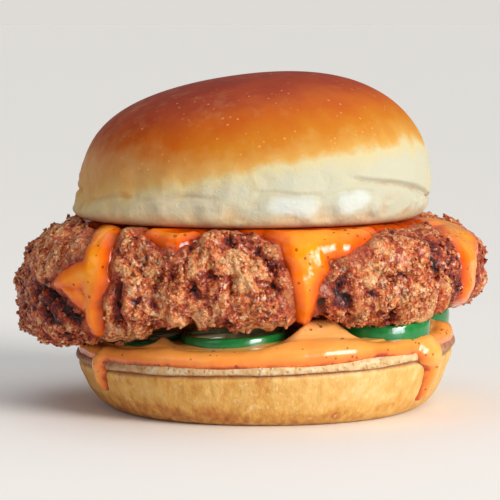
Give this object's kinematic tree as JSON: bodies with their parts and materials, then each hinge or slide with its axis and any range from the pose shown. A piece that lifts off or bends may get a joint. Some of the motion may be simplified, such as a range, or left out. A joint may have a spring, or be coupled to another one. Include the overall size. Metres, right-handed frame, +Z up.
{
  "type": "chicken burger",
  "caption": "Fried chicken burger: domed bun, craggy breaded fillet wider than the bun with hot sauce running over it, chilli slices and burger sauce on a bottom bun.",
  "frame": {"origin": "centre of the bottom bun's flat resting face", "axes": "+Z up, +X along the fillet's length to the right as the picture shows it, -Y towards the viewer"},
  "size_m": [0.1364, 0.1117, 0.0961],
  "materials": {
    "bun_crust": "soft golden bun crust with pale crumb at its cut edge",
    "glazed_crust": "glazed brown bun crust that pales to cream on its sides",
    "breading": "fried breading, rough and slightly oily",
    "hot_sauce": "wet, shiny orange sauce",
    "burger_sauce": "creamy, shiny pale orange sauce",
    "chilli": "green chilli skin and flesh"
  },
  "bodies": {
    "root": {"bottom_bun": "bun_crust", "burger_sauce": "burger_sauce", "chilli_slice_1": "chilli", "chilli_slice_2": "chilli", "chilli_slice_3": "chilli", "chilli_slice_4": "chilli", "chilli_slice_5": "chilli", "chilli_slice_6": "chilli", "chicken_fillet": "breading", "hot_sauce": "hot_sauce", "top_bun": "glazed_crust"}
  },
  "joints": []
}
